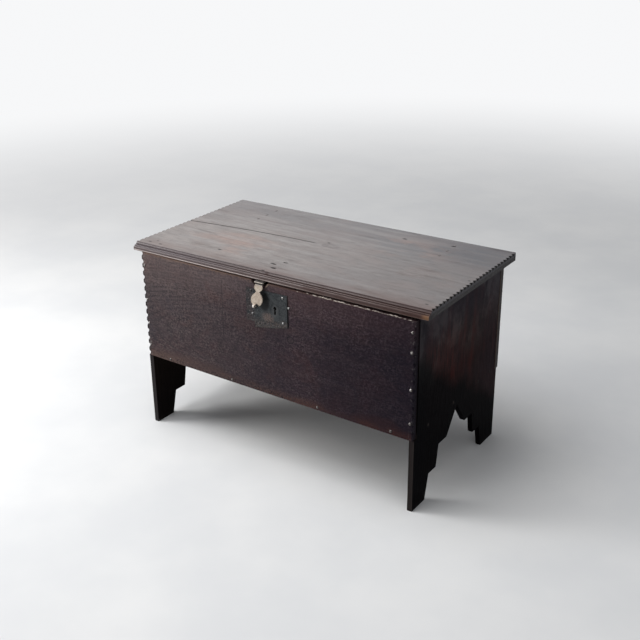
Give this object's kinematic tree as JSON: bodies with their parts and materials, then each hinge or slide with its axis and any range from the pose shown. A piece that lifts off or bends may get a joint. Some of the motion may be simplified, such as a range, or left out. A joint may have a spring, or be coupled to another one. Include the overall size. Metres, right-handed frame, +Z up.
{
  "type": "six-plank coffer",
  "caption": "Boarded oak chest on stepped plank-end legs, its moulded lid hinged at the back, its front with an iron lock plate and a hanging hasp.",
  "frame": {"origin": "on the floor, in the middle of the whole outline seen from above", "axes": "+X to the viewer's right along the length of the chest, +Y from the lock side to the hinge side, +Z up; the lid is closed and the hasp hangs free"},
  "size_m": [1, 0.567, 0.5975],
  "materials": {
    "lid_oak": "waxed old oak, grey-brown with a soft sheen",
    "front_oak": "dark red-brown waxed oak, long cathedral grain",
    "back_oak": "dry brown oak",
    "end_oak": "near-black oak with reddish streaks, upright grain",
    "bottom_oak": "unfinished oak, pale inside",
    "nail_iron": "forged heads rubbed bright",
    "tack_iron": "forged heads, dark with bright tops",
    "clench_iron": "dark hammered iron",
    "lock_iron": "dark grey-green sheet iron with worn patches",
    "works_iron": "oiled dark iron",
    "bolt_iron": "bolt filed smooth",
    "hasp_iron": "iron rubbed pale buff by handling",
    "staple_iron": "wiped iron",
    "hinge_iron": "hammered black iron"
  },
  "bodies": {
    "carcase": {"front_board": "front_oak", "back_board": "back_oak", "left_end_board": "end_oak", "right_end_board": "end_oak", "bottom_board": "bottom_oak", "front_nails": "nail_iron", "back_nails": "nail_iron", "bottom_end_nails": "nail_iron", "lock_plate": "lock_iron", "lock_plate_nails": "tack_iron", "lock_case": "works_iron", "bolt_guides": "works_iron", "bolt_spring": "works_iron", "key_pin": "works_iron", "key_ward": "works_iron", "left_hinge_tail": "hinge_iron", "left_hinge_pin": "staple_iron", "right_hinge_tail": "hinge_iron", "right_hinge_pin": "staple_iron", "hinge_tail_nails": "tack_iron"},
    "lid": {"lid": "lid_oak", "hasp_strap": "hasp_iron", "hasp_pin": "staple_iron", "hasp_strap_nails": "clench_iron", "left_hinge_strap": "hinge_iron", "right_hinge_strap": "hinge_iron", "hinge_strap_nails": "clench_iron"},
    "hasp": {"hasp": "hasp_iron", "hasp_staple": "staple_iron"},
    "bolt": {"lock_bolt": "bolt_iron"}
  },
  "joints": [
    {"name": "lid_hinge", "type": "hinge", "parent": "carcase", "child": "lid", "pos_m": [0, 0.27281, 0.5673], "axis": [-1, 0, 0], "range_deg": [0, 130]},
    {"name": "hasp_hinge", "type": "hinge", "parent": "lid", "child": "hasp", "pos_m": [-0.023, -0.25589, 0.5694], "axis": [-1, 0, 0], "range_deg": [-16, 174]},
    {"name": "bolt_slide", "type": "slide", "parent": "carcase", "child": "bolt", "axis": [-1, 0, 0], "range_m": [0, 0.012]}
  ]
}
